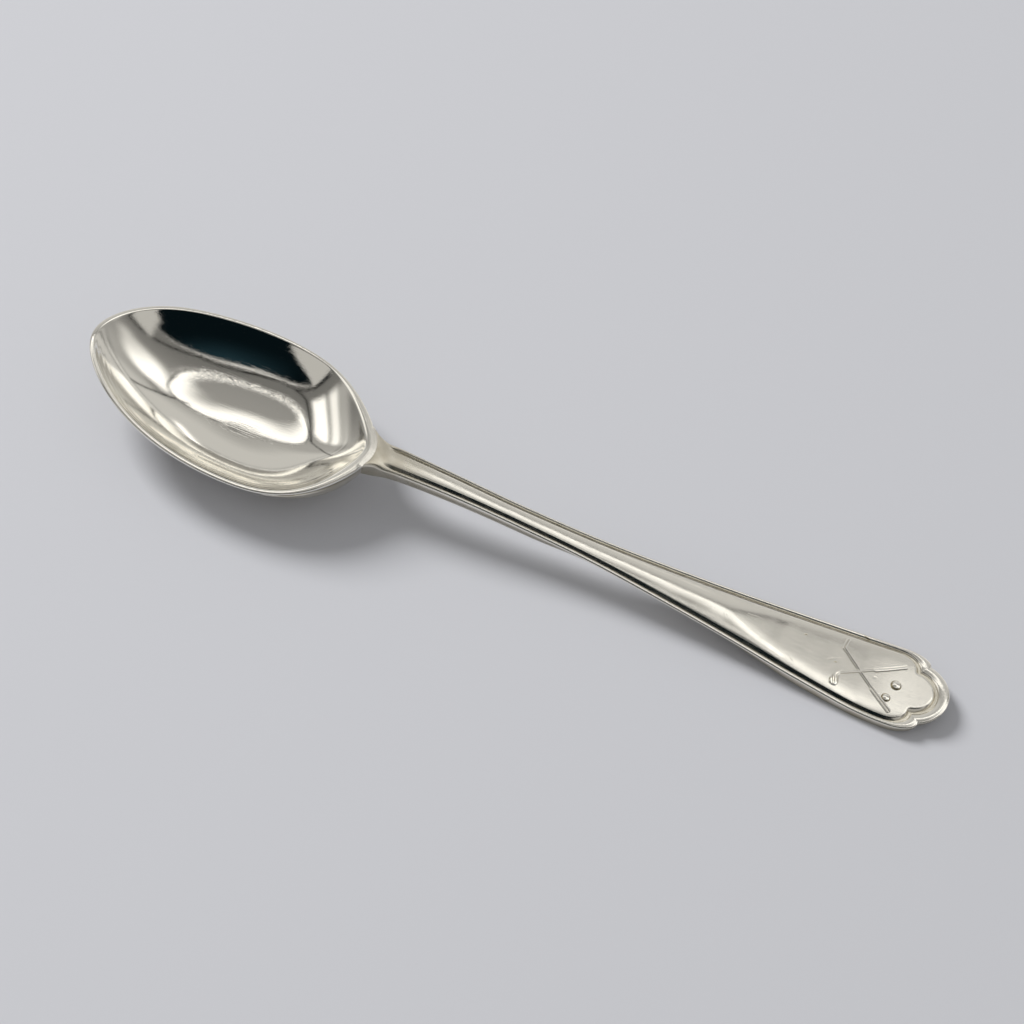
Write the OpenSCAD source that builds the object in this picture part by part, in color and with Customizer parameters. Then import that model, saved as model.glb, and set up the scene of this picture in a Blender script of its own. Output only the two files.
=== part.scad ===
// Teaspoon with a pointed oval bowl, a reeded stem and a lobed end that carries a golf motif.
// The spoon lies as it rests on a table: its bowl to -X, its handle to +X, its top side up.

/* [Overall] */
// Length from the bowl's tip to the end of the handle
overall_len = 116; // [95:1:140]

/* [Bowl] */
// Length of the bowl over its rim
bowl_len = 37.5; // [32:0.5:44]
// Width of the bowl over its rim
bowl_w = 24.4; // [20:0.2:29]
// Height of the rim at the tip
tip_h = 8.2; // [7.4:0.1:9.5]
// Height of the rim halfway along the bowl
waist_h = 6.3; // [5.8:0.1:7]
// Height of the rim at the heel, where the handle starts
heel_h = 7.3; // [7.25:0.05:8]
// Thickness of the rim, seen from above
rim_t = 0.7; // [0.5:0.05:1]
// Radius that softens the rim's edges
rim_round = 0.2; // [0.1:0.05:0.3]
// Thickness of the bowl's bottom
bowl_t = 1.1; // [0.8:0.05:1.4]
// Width of the small worn flat on which the bowl rests
rest_flat_w = 3; // [2:0.2:4]

/* [Drop under the bowl] */
// Length of the drop along the bowl's back, from the heel
drop_len = 6.5; // [5:0.5:8]
// Width of the drop where it leaves the neck
drop_w = 3.6; // [3.4:0.1:4.2]
// Width of the drop at its rounded front end
drop_end_w = 2.4; // [1.8:0.1:3]
// How far the drop stands out below the neck
drop_t = 0.8; // [0.5:0.05:1]

/* [Handle] */
// Width of the neck where it meets the bowl
neck_w = 4.8; // [4.2:0.1:5.4]
// Width of the stem at its narrowest
stem_w = 3.4; // [3:0.1:4]
// Width across the shoulders of the handle's end
terminal_w = 11.8; // [10.4:0.2:13]
// Thickness of the edge at the neck
neck_t = 2; // [1.7:0.05:2.1]
// Thickness of the edge at the end
end_t = 1.2; // [1:0.05:1.5]
// Height of the neck's underside above the table
neck_lift = 4.75; // [4:0.05:4.8]
// Height of the end's underside above the table
end_lift = 1.2; // [0.6:0.1:2]
// Distance from the end to the middle of the land on which the handle rests
rest_from_end = 12; // [10:0.5:14]
// Length of that land
rest_len = 4; // [2:0.5:6]
// Length of the separate end piece, from the tip of the handle to the joint across it
terminal_len = 24; // [21:0.5:28]

/* [Reeded border] */
// Width of the bead along the stem's edge
bead_w = 0.58; // [0.45:0.01:0.65]
// Width of the groove between the bead and the raised spine
groove_w = 0.5; // [0.35:0.01:0.55]
// Depth of the groove below the bead
groove_d = 0.35; // [0.2:0.01:0.45]
// Width of the hollow border round the raised panel
border_w = 1.15; // [1:0.05:1.5]
// Width by which the edge's underside is drawn in
under_in = 0.85; // [0.5:0.05:0.9]

/* [Raised spine and panel] */
// Height of the spine's crown above its sides
crown_h = 0.45; // [0.3:0.01:0.5]
// Height of the panel's flat top above its sides
panel_h = 0.35; // [0.25:0.01:0.5]
// Radius of the panel's edge, seen from above
panel_round = 0.3; // [0.2:0.02:0.4]
// Length over which the round spine turns into the flat panel
fade_len = 14; // [8:0.5:20]

/* [Lobed end] */
// Distance from the end to where the shoulders start to turn in
shoulder_from_end = 6.5; // [6:0.1:8]
// Distance from the end to the cusps
cusp_from_end = 3.45; // [3:0.05:4]
// Width across the cusps
cusp_w = 9.2; // [8.4:0.1:9.8]
// Distance from the end of the handle to the end of the raised panel
panel_from_end = 2.1; // [1.6:0.05:2.4]
// Distance from the end of the panel to where its shoulders turn in
panel_shoulder_len = 5.4; // [4.6:0.1:6]
// Distance from the end of the panel to its cusps
panel_cusp_len = 2.7; // [2.4:0.05:3]
// Width across the panel's cusps
panel_cusp_w = 5.64; // [5:0.04:6]

/* [Golf motif] */
// Distance from the end of the handle to the crossing of the clubs
motif_from_end = 12; // [11.5:0.1:12.5]
// Length of a club from the crossing to the end of its grip
grip_reach = 6.2; // [5.6:0.1:6.4]
// Length of a grip
grip_len = 3.6; // [2.8:0.1:4]
// Width of a grip
grip_w = 0.78; // [0.5:0.02:0.9]
// Width of a shaft
shaft_w = 0.42; // [0.3:0.02:0.6]
// Length of a shaft from the crossing to its head
head_reach = 3; // [2.4:0.1:3.2]
// Length of the iron's blade
iron_len = 2; // [1.4:0.1:2.2]
// Width of the iron's blade
iron_w = 0.6; // [0.4:0.02:0.8]
// Length of the wood's head
wood_len = 2; // [1.4:0.1:2.2]
// Width of the wood's head
wood_w = 1.1; // [0.8:0.05:1.3]
// Diameter of a ball
ball_d = 1.4; // [1:0.05:1.5]
// Height of the clubs above the panel
club_relief = 0.18; // [0.1:0.01:0.25]
// Height of the balls above the panel
ball_relief = 0.3; // [0.2:0.01:0.4]

/* [Hidden] */

// Places along the spoon
tip_x = -overall_len / 2;
end_x = overall_len / 2;
heel_x = tip_x + bowl_len;
joint_x = end_x - terminal_len;
rest_x = end_x - rest_from_end;
panel_end_x = end_x - panel_from_end;
motif_x = end_x - motif_from_end;

// Counts of points along and around
bowl_steps = 32;
outer_rings = 12;
inner_rings = 10;
stem_steps = 18;
terminal_steps = 8;
shoulder_steps = 7;
lobe_steps = 9;
round_steps = 4;

// The bowl's outline against an ellipse, at equal steps of angle from the tip to the heel
bowl_fullness_shares = [0.8, 0.89, 0.97, 1, 1.04, 0.91, 0.75];
// Where the bowl is deepest, along its length
deepest_share = 0.53;
// How steeply the bowl's wall rises at its sides and at its heel
side_power = 2.5;
heel_power = 4.2;
// Height of the handle's underside, at equal steps from the land it rests on to the neck
arch_shares = [0, 0.12, 0.33, 0.53, 0.73, 0.91, 1];
// How far the handle has widened, at equal steps from the neck to its end
widen_shares = [0, 0, 0, 0.055, 0.28, 0.535, 0.82, 1, 1];
// The part of the handle along which the neck narrows to the stem
neck_share = 0.26;
// The part of the handle along which the grooves run out at the neck
groove_fade_share = 0.06;
// Depth of the grooves where they run out
groove_start_share = 0.3;
// Edge of the handle: inset against the underside's, and height against the thickness
edge_in_shares = [1, 0.4, 0.06, 0];
edge_h_shares = [0, 0.3, 0.62, 0.82];
// Places across the border, from the outline to the panel's foot: the crest's two edges and the hollow
crest_share = 0.1;
crest_dip_share = 0.08;
stem_crest_share = 0.45;
terminal_crest_share = 0.24;
neck_crest_share = 0.8;
stem_hollow_share = 0.56;
terminal_hollow_share = 0.8;
neck_hollow_share = 0.9;
// Depth of the hollow against the groove's
hollow_depth_share = 0.9;
// The spine's rounding against its half width, and its side wall against the groove's depth
spine_round_share = 0.85;
wall_top_share = 0.35;
// Width of the small flat at the very end, against the panel's cusps
end_flat_share = 0.1;
// Angles of the clubs and of the iron's blade
over_angle = -41;
under_angle = 28;
iron_angle = 64;
wood_angle = -91;
// Places of the balls against a club's reach, from the crossing
ball_far_shares = [0.8, -0.02];
ball_near_shares = [0.65, -0.36];
// Where the wood's head sits on its shaft, against its length
wood_seat_share = 0.2;
// Overrun of a cutting solid
overrun = 1.5;

// A curve through values at equal steps, level at both ends
function smooth(list, t) =
    let (last = len(list) - 1,
         s = min(max(t, 0), 1) * last,
         i = min(floor(s), last - 1),
         f = s - i,
         a = list[i == 0 ? 1 : i - 1],
         b = list[i],
         c = list[i + 1],
         d = list[i + 2 > last ? last - 1 : i + 2])
    (2 * b + (c - a) * f + (2 * a - 5 * b + 4 * c - d) * f * f + (3 * b - a - 3 * c + d) * f * f * f) / 2;

function mix(a, b, t) = a + (b - a) * t;
function clamp(t) = min(max(t, 0), 1);

// Inward direction at a point of a half outline that runs from -X to +X on its +Y side
function inward(line, i, first, last) =
    i == 0 ? first
    : i == len(line) - 1 ? last
    : let (d = line[i + 1] - line[i - 1]) [d[1], -d[0]] / norm(d);

// A half outline moved inward, by one distance for each of its points
function inset(line, by, first, last) =
    [for (i = [0:len(line) - 1]) line[i] + by[i] * inward(line, i, first, last)];

function same(line, value) = [for (p = line) value];

// Solid through half outlines, mirrored in the plane y = 0: the first faces down, the last faces up
module skin(levels) {
    half = len(levels[0]);
    around = 2 * half;
    points = [for (line = levels) each concat(
        line, [for (i = [half - 1:-1:0]) [line[i][0], -line[i][1], line[i][2]]])];
    top = (len(levels) - 1) * around;
    bottom_cap = [for (i = [0:half - 2]) [i, around - 1 - i, around - 2 - i, i + 1]];
    top_cap = [for (i = [0:half - 2])
        [top + i, top + i + 1, top + around - 2 - i, top + around - 1 - i]];
    sides = [for (k = [0:len(levels) - 2]) for (i = [0:around - 1])
        let (j = (i + 1) % around, low = k * around, high = low + around)
        [low + i, low + j, high + j, high + i]];
    polyhedron(points = points, faces = concat(bottom_cap, sides, top_cap), convexity = 8);
}

// Bowl
bowl_angles = [for (i = [0:bowl_steps - 1]) (i + 0.5) * 180 / bowl_steps];
fullest = max([for (a = bowl_angles) sin(a) * smooth(bowl_fullness_shares, a / 180)]);
deep_x = tip_x + bowl_len * deepest_share;
flat_share = rest_flat_w / bowl_w;

rim_line = [for (a = bowl_angles) [
    tip_x + bowl_len / 2 * (1 - cos(a) / cos(bowl_angles[0])),
    bowl_w / 2 * sin(a) * smooth(bowl_fullness_shares, a / 180) / fullest]];

function rim_inset(part) = inset(rim_line, same(rim_line, rim_t * part), [1, 0], [-1, 0]);

// Height of the rim, through its heights at the tip, halfway and at the heel
function rim_h(i) =
    let (t = (rim_line[i][0] - tip_x) / bowl_len)
    tip_h * (1 - t) * (1 - 2 * t) + waist_h * 4 * t * (1 - t) + heel_h * t * (2 * t - 1);

function wall_power(i) = mix(side_power, heel_power, pow((1 - cos(bowl_angles[i])) / 2, 2));

// A ring of the bowl at a share of the way from its deepest point to its rim
function bowl_ring(line, share, bottom) =
    [for (i = [0:len(line) - 1])
        let (power = wall_power(i),
             low = pow(flat_share, power),
             rise = (pow(share, power) - low) / (1 - low))
        [mix(deep_x, line[i][0], share), line[i][1] * share, mix(bottom, rim_h(i) - rim_round, rise)]];

function ring_share(k, count) = mix(flat_share, 1, pow(k / count, 0.8));

bowl_outside = [for (k = [0:outer_rings]) bowl_ring(rim_line, ring_share(k, outer_rings), 0)];
bowl_inside = [for (k = [inner_rings:-1:0])
    bowl_ring(rim_inset(1), ring_share(k, inner_rings), bowl_t)];

function rim_ring(part, extra) =
    let (line = rim_inset(part)) [for (i = [0:len(line) - 1]) [line[i][0], line[i][1], rim_h(i) + extra]];

module bowl() {
    color([0.86, 0.85, 0.8])
        skin(concat(bowl_outside, [rim_ring(0.3, 0), rim_ring(0.7, 0)], bowl_inside));
}

// What the bowl and the space over it take out of the pieces that meet its outside
module bowl_block() {
    skin(concat(bowl_outside, [rim_ring(0.3, 0), rim_ring(0.3, overrun)]));
}

// Handle
function along(x) = clamp((x - heel_x) / (end_x - heel_x));
function widened(x) = smooth(widen_shares, along(x));

function half_w(x) =
    stem_w / 2 + (neck_w - stem_w) / 2 * pow(max(0, 1 - along(x) / neck_share), 3)
    + (terminal_w - stem_w) / 2 * widened(x);

function border(x) = mix(bead_w + groove_w, border_w, widened(x));

land_start = rest_x - rest_len / 2;
land_end = rest_x + rest_len / 2;

// Height of the underside at the middle of the handle
function under_h(x) =
    x < land_start ? neck_lift * smooth(arch_shares, (land_start - x) / (land_start - heel_x))
    : x > land_end ? end_lift * pow((x - land_end) / (end_x - land_end), 2)
    : 0;

function edge_t(x) = mix(end_t, neck_t, pow(1 - along(x), 2));

// How far the grooves have run out: 1 at the bowl, 0 along the stem
function run_out(x) = max(0, 1 - along(x) / groove_fade_share);
function groove_depth(x) = groove_d * mix(1, groove_start_share, run_out(x));

function across(x, stem_part, terminal_part, neck_part) =
    mix(mix(stem_part, terminal_part, widened(x)), neck_part, run_out(x));

// Half outline lifted to a share of the edge's thickness, then sunk by a share of the groove's depth
function lift(line, part, sink) =
    [for (p = line) [p[0], p[1], under_h(p[0]) + part * edge_t(p[0]) - sink * groove_depth(p[0])]];

// Half outline between the handle's outline and the panel's foot
function between(outer, inner, parts) =
    [for (i = [0:len(outer) - 1]) mix(outer[i], inner[i], parts[i])];

// End of an outline: shoulder, cusp and lobe, with the lobe's arc centred on the axis
function lobed_end(shoulder, cusp, tip) =
    let (len_to_tip = tip[0] - cusp[0],
         r = (len_to_tip * len_to_tip + cusp[1] * cusp[1]) / (2 * len_to_tip),
         start = atan2(cusp[1], cusp[0] - tip[0] + r))
    concat(
        [for (i = [1:shoulder_steps]) let (a = 90 * i / shoulder_steps)
            [mix(shoulder[0], cusp[0], sin(a)), mix(cusp[1], shoulder[1], cos(a))]],
        [for (i = [1:lobe_steps - 1]) let (a = start * (1 - i / lobe_steps))
            [tip[0] - r + r * cos(a), r * sin(a)]],
        [tip]);

end_flat = panel_cusp_w * end_flat_share;

// Outlines of the stem and of the end, and those of what is raised on them
stem_start_x = heel_x - bowl_len / 20;
stem_xs = [for (i = [0:stem_steps]) mix(stem_start_x, joint_x, i / stem_steps)];
stem_outer = [for (x = stem_xs) [x, half_w(x)]];
stem_inner = [for (x = stem_xs) [x, half_w(x) - border(x)]];

shoulder_x = end_x - shoulder_from_end;
panel_shoulder_x = panel_end_x - panel_shoulder_len;
terminal_outer = concat(
    [for (i = [0:terminal_steps]) let (x = mix(joint_x, shoulder_x, i / terminal_steps)) [x, half_w(x)]],
    lobed_end([shoulder_x, half_w(shoulder_x)], [end_x - cusp_from_end, cusp_w / 2],
              [end_x, end_flat / 2]));
terminal_inner = concat(
    [for (i = [0:terminal_steps]) let (x = mix(joint_x, panel_shoulder_x, i / terminal_steps))
        [x, half_w(x) - border(x)]],
    lobed_end([panel_shoulder_x, half_w(panel_shoulder_x) - border(panel_shoulder_x)],
              [panel_end_x - panel_cusp_len, panel_cusp_w / 2], [panel_end_x, end_flat / 2]));

square_cut = [0, -1];
round_end = [-1, 0];

// Lower tier of the handle: drawn-in underside, edge, bead or border, and the seat of the raised tier
function lower_tier(outer, inner) = concat(
    [for (k = [0:len(edge_in_shares) - 1])
        lift(between(outer, inner, [for (p = outer) edge_in_shares[k] * under_in / border(p[0])]),
             edge_h_shares[k], 0)],
    [lift(between(outer, inner, same(outer, crest_share)), 1, 0),
     lift(between(outer, inner, [for (p = outer)
         across(p[0], stem_crest_share, terminal_crest_share, neck_crest_share)]), 1, crest_dip_share),
     lift(between(outer, inner, [for (p = outer)
         across(p[0], stem_hollow_share, terminal_hollow_share, neck_hollow_share)]),
         1, hollow_depth_share),
     lift(inner, 1, 1)]);

// How far the round spine has turned into the flat panel
function flattened(x) = smooth([0, 0.5, 1], (x - joint_x + fade_len) / fade_len);

// Upper tier of the handle: its foot on the seat, its side wall and its rounded top
function upper_tier(inner, last) = concat(
    [lift(inner, 1, 1)],
    [for (k = [0:round_steps])
        let (a = 90 * k / round_steps,
             line = inset(inner, [for (p = inner)
                 (1 - cos(a)) * mix(spine_round_share * p[1], panel_round, flattened(p[0]))],
                 square_cut, last),
             base = lift(line, 1, wall_top_share))
        [for (p = base) [p[0], p[1], p[2] + sin(a) * mix(crown_h, panel_h, flattened(p[0]))]]]);

module stem() {
    color([0.8, 0.79, 0.74])
        difference() {
            skin(lower_tier(stem_outer, stem_inner));
            bowl_block();
        }
}

module terminal() {
    color([0.74, 0.73, 0.69])
        skin(lower_tier(terminal_outer, terminal_inner));
}

module stem_spine() {
    color([0.9, 0.89, 0.85])
        difference() {
            skin(upper_tier(stem_inner, square_cut));
            bowl_block();
        }
}

module terminal_panel() {
    color([0.84, 0.83, 0.79])
        skin(upper_tier(terminal_inner, round_end));
}

// Drop: the tongue on the bowl's back that carries the neck
module drop_bar(x, low, width) {
    for (side = [-1, 1])
        translate([x, side * (width / 2 - drop_t), low + drop_t])
            sphere(r = drop_t, $fn = 24);
}

module heel_drop() {
    neck_low = under_h(heel_x);
    neck_x = heel_x - drop_t;
    color([0.78, 0.77, 0.73])
        difference() {
            union() {
                hull() {
                    drop_bar(heel_x + drop_w * 0.65, neck_low, drop_t * 2);
                    drop_bar(neck_x, neck_low - drop_t, drop_w);
                }
                hull() {
                    drop_bar(neck_x, neck_low - drop_t, drop_w);
                    drop_bar(heel_x - drop_len, drop_t / 2, drop_end_w);
                }
            }
            bowl_block();
            skin(lower_tier(stem_outer, stem_inner));
        }
}

// Golf motif: an iron over a wood, with two balls between the grips
function turned(p, angle) =
    [p[0] * cos(angle) - p[1] * sin(angle), p[0] * sin(angle) + p[1] * cos(angle)];

// Outline of a club that lies along X with its grip to +X: the points of its head come in between
module club(head) {
    grip_start = grip_reach - grip_len;
    polygon(concat(
        [[grip_start, shaft_w / 2]],
        [for (p = head) p - [head_reach, 0]],
        [[grip_start, -shaft_w / 2], [grip_start + grip_w, -grip_w / 2],
         [grip_reach, -grip_w / 2], [grip_reach, grip_w / 2], [grip_start + grip_w, grip_w / 2]]));
}

module over_outline() {
    blade = [for (p = [[shaft_w / 3, -iron_w / 2], [iron_len, -iron_w / 3],
                       [iron_len, iron_w / 3], [-shaft_w / 2, iron_w / 2]])
        turned(p, iron_angle - over_angle)];
    rotate(over_angle)
        club(blade);
}

module under_outline() {
    seat = wood_len * wood_seat_share;
    head = [for (p = [[-seat, -wood_w / 3], [wood_len / 3, -wood_w / 2],
                      [wood_len - seat, -wood_w / 3], [wood_len - seat, wood_w / 3],
                      [wood_len / 3, wood_w / 2], [0, wood_w / 2]])
        turned(p, wood_angle - under_angle)];
    rotate(under_angle)
        club(head);
}

// Layer of even height that lies on the panel's flat top
module relief_layer(height) {
    top = upper_tier(terminal_inner, round_end)[round_steps + 1];
    skin([top, [for (p = top) p + [0, 0, height]]]);
}

// Upright block with an outline of the motif, as tall as the bowl
module motif_block() {
    translate([motif_x, 0, 0])
        linear_extrude(heel_h)
            children();
}

function panel_top_h(x) =
    under_h(x) + edge_t(x) - wall_top_share * groove_depth(x) + panel_h;

module ball(place_shares) {
    x = motif_x + grip_reach * place_shares[0];
    intersection() {
        translate([x, grip_reach * place_shares[1], panel_top_h(x) + ball_relief - ball_d / 2])
            sphere(d = ball_d, $fn = 24);
        relief_layer(ball_relief * 2);
    }
}

module club_over() {
    color([0.92, 0.91, 0.87])
        intersection() {
            relief_layer(club_relief);
            motif_block()
                over_outline();
        }
}

module club_under() {
    color([0.88, 0.87, 0.83])
        difference() {
            intersection() {
                relief_layer(club_relief);
                motif_block()
                    under_outline();
            }
            motif_block()
                over_outline();
        }
}

module ball_far() {
    color([0.9, 0.89, 0.86])
        ball(ball_far_shares);
}

module ball_near() {
    color([0.6, 0.59, 0.56])
        difference() {
            ball(ball_near_shares);
            motif_block()
                over_outline();
        }
}

bowl();
heel_drop();
stem();
terminal();
stem_spine();
terminal_panel();
club_over();
club_under();
ball_far();
ball_near();
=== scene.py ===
import bmesh
import bpy
import math
from mathutils import Matrix, Vector, noise


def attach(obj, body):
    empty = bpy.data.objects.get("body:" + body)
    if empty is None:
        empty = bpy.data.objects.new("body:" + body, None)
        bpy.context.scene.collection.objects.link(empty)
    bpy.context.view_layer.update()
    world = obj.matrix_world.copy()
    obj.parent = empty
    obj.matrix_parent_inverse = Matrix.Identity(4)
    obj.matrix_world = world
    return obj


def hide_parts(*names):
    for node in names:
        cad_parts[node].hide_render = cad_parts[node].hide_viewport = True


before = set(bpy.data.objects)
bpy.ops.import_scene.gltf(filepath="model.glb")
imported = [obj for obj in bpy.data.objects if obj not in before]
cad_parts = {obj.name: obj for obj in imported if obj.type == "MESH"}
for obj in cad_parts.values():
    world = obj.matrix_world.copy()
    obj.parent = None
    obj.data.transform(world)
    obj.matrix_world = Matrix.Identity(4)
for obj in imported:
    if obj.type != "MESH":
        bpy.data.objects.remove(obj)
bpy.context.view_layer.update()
scene = bpy.context.scene
print("frame loaded:", sorted(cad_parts))

# Shapes are worked out in millimetres, in the part's own frame, and scaled to metres at the end.
spoon = {
    "tipX": -58.0,
    "heelX": -20.5,  # where the bowl ends and the handle starts
    "jointX": 34.0,  # where the stem meets the end
    "endX": 58.0,
}


# Curves shared by the pieces
def mix(a, b, t):
    return a + (b - a) * t


def clamp(t):
    return min(max(t, 0.0), 1.0)


def eased(t):
    t = clamp(t)
    return t * t * (3 - 2 * t)


def ramp(x, span):
    # from 0 to 1, given where it starts and over what length
    return eased((x - span[0]) / span[1])


def hump(value, place, width):
    return math.exp(-((value - place) / width) ** 2)


def steps(values, t):
    # curve through values at equal steps that doesn't swing past them much
    last = len(values) - 1
    s = clamp(t) * last
    i = min(int(s), last - 1)
    f = s - i
    a, b, c, d = values[max(i - 1, 0)], values[i], values[i + 1], values[min(i + 2, last)]
    return (2 * b + (c - a) * f + (2 * a - 5 * b + 4 * c - d) * f * f
            + (3 * b - a - 3 * c + d) * f * f * f) / 2


# Camera, at the photograph's angle
camera = {
    "azimuth": -7.5, "elevation": 52.2, "roll": 27.4,
    "distance": 0.559, "target": (-0.0019, 0.0006, 0.00486), "lens": 158.95,
}


def makeCamera(c):
    a, e, r = (math.radians(c[k]) for k in ("azimuth", "elevation", "roll"))
    back = Vector((math.sin(a) * math.cos(e), -math.cos(a) * math.cos(e), math.sin(e)))
    right = (-back).cross(Vector((0, 0, 1))).normalized()
    up = right.cross(-back)
    right, up = right * math.cos(r) + up * math.sin(r), up * math.cos(r) - right * math.sin(r)
    data = bpy.data.cameras.new("photoCamera")
    data.lens = c["lens"]
    data.sensor_width = 36
    data.clip_start, data.clip_end = 0.01, 20
    cam = bpy.data.objects.new("photoCamera", data)
    scene.collection.objects.link(cam)
    turn = Matrix((right, up, back)).transposed().to_4x4()
    cam.matrix_world = Matrix.Translation(Vector(c["target"]) + back * c["distance"]) @ turn
    scene.camera = cam


makeCamera(camera)
print("camera placed")


# Making of a piece: a grid is shaped as one half of the piece, mirrored and closed
def halfGrid(columns, rows, place):
    bm = bmesh.new()
    tarnishAndShade = bm.verts.layers.float.new("tarnishAndShade")
    satin = bm.verts.layers.float.new("satin")
    fromRim = bm.verts.layers.float.new("fromRim")
    bmesh.ops.create_grid(bm, x_segments=columns, y_segments=rows, size=1)
    for v in bm.verts:
        c = round((v.co.x + 1) / 2 * columns)
        r = round((v.co.y + 1) / 2 * rows)
        x, y, z, v[tarnishAndShade], v[satin], *far = place(c, r)
        v[fromRim] = far[0] if far else 9.0
        v.co = (x, y, z)
    return bm


def mirrored(bm):
    everything = bm.verts[:] + bm.edges[:] + bm.faces[:]
    bmesh.ops.mirror(bm, geom=everything, axis="Y", merge_dist=1e-4)
    bmesh.ops.remove_doubles(bm, verts=bm.verts, dist=1e-4)
    return bm


def finishPiece(bm, name, nodeNames, sharpAngle=40):
    bmesh.ops.dissolve_degenerate(bm, edges=bm.edges, dist=1e-5)
    bmesh.ops.holes_fill(bm, edges=[e for e in bm.edges if e.is_boundary], sides=0)
    bmesh.ops.recalc_face_normals(bm, faces=bm.faces)
    bmesh.ops.scale(bm, vec=(0.001, 0.001, 0.001), verts=bm.verts)
    mesh = bpy.data.meshes.new(name)
    bm.to_mesh(mesh)
    bm.free()
    mesh.shade_smooth()
    mesh.set_sharp_from_angle(angle=math.radians(sharpAngle))
    obj = bpy.data.objects.new(name, mesh)
    scene.collection.objects.link(obj)
    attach(obj, "root")
    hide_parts(*nodeNames)
    print("piece made:", name, len(mesh.polygons), "faces")
    return obj


# Bowl
bowl = {
    "fullness": [0.9333, -0.011, -0.1038, 0.028, -0.0326],  # outline against an ellipse, as cosine waves
    "swell": 0.03, "swellAt": 2.3, "swellLen": 0.42,  # a little fuller towards the heel
    "width": 24.4,
    "tipH": 8.2, "waistH": 6.3, "heelH": 7.3,  # heights of the rim
    "tipRise": (0.12, 0.22, 0.13),  # height, place and length along the bowl
    "heelDip": (0.2, 0.7, 0.15),
    "tipLevel": 0.08,  # how soon the first rise may start
    "deepest": 0.53,
    "sidePower": 2.5, "heelPower": 4.2,  # steepness of the wall
    "insideRound": 0.12,  # share of an even, dish-like hollow
    "flat": 3.0,  # worn spot it rests on
    "bottomT": 1.1,
    "lipRound": 0.21, "heelLip": 0.36, "lipFlat": 0.2, "innerRound": 0.3,
    "heelFlat": 0.3, "heelRound": 0.9,  # softer lip where the neck joins
    # angle round the rim, 0 at the tip and 180 at the heel, where each form starts, and its run
    "heelSpan": (126, 38), "lipSpan": (118, 34), "heldRun": 3, "bandSpan": (100, 52), "bandEnd": (168, 10),
    "bandH": 2.8, "bandRound": 0.16, "bandPower": 1.3,  # upright wall at the heel's corners
    "creaseAt": 0.84, "creaseWidth": 0.09, "creaseDepth": 0.13,  # under the rim, on that wall
    # the back partly tarnish, partly painted shade; the upright wall a painted reflection of the shaded
    # floor; the crease and the lip's underside painted shade
    "backTarnishAndShade": 0.25, "wallShade": 0.6, "creaseShade": 1.4, "lipTone": 0.12,
    "columns": 150, "outRows": 32, "bandRows": 10, "lipRows": 9, "innerRows": 8, "hollowRows": 46,
    "outSpread": 0.8, "inSpread": 1.15,  # rows closer together towards the rim
}
bowlLen = spoon["heelX"] - spoon["tipX"]
deepX = spoon["tipX"] + bowlLen * bowl["deepest"]


def fullness(a, s=1.0):
    # towards the middle of the bowl its rings turn into plain ovals
    waves = sum(f * math.cos(k * a) * (s * s if k > 1 else 1) for k, f in enumerate(bowl["fullness"]))
    return waves + bowl["swell"] * s * s * hump(a, bowl["swellAt"], bowl["swellLen"])


fullest = max(math.sin(math.radians(a)) * fullness(math.radians(a)) for a in range(60, 121))


def rimPoint(a, s=1.0):
    a = math.radians(a)
    x = spoon["tipX"] + bowlLen / 2 * (1 - math.cos(a))
    return x, bowl["width"] / 2 * math.sin(a) * fullness(a, s) / fullest


def rimInward(a):
    (x0, y0), (x1, y1) = rimPoint(a - 0.2), rimPoint(a + 0.2)
    if a <= 0.2 or a >= 179.8:
        return (1.0, 0.0) if a < 90 else (-1.0, 0.0)
    size = math.hypot(x1 - x0, y1 - y0)
    return (y1 - y0) / size, -(x1 - x0) / size


def rimHeight(x):
    t = (x - spoon["tipX"]) / bowlLen
    rise, dip = (high * hump(t, *place) for high, *place in (bowl["tipRise"], bowl["heelDip"]))
    return (bowl["tipH"] * (1 - t) * (1 - 2 * t) + bowl["waistH"] * 4 * t * (1 - t)
            + bowl["heelH"] * t * (2 * t - 1) + rise * eased(t / bowl["tipLevel"]) - dip)


def wallPower(a):
    return mix(bowl["sidePower"], bowl["heelPower"], ((1 - math.cos(math.radians(a))) / 2) ** 2)


# Neck, where the handle meets the bowl
neck = {
    "angle": 162.0,  # where its outline leaves the bowl's
    "width": 4.4, "fadeLen": 3.0,
    "flareShare": 0.26,  # share of the handle over which it narrows
    "domeRise": 0.13, "domePower": 2.6, "domeRound": 0.55,
    "lipUnder": 0.03, "lipDepth": 1.6,  # how it sits under the bowl's lip
    "wallAngle": 172, "sunk": 0.45, "sunkFrom": 0.1, "sunkRun": 0.6, "sinkLen": 2.2,
    "edgeEndH": 5.9, "crownEndH": 6.3,  # the hidden ends in the bowl's wall
    "borderExtra": 0.5, "borderExtraLen": 1.6, "insetLess": 0.4, "insetLessLen": 3.4, "seatDown": 0.4,
    # painted reflection: darkens the neck's top, most where it meets the bowl
    "tone": 0.62, "shadeFrom": -20, "shadeLen": 6.5, "plainShade": 0.4,
    "satinSpan": (-19, 8), "satinLeft": 0.25,
}
cornerX, cornerY = rimPoint(neck["angle"])


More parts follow.
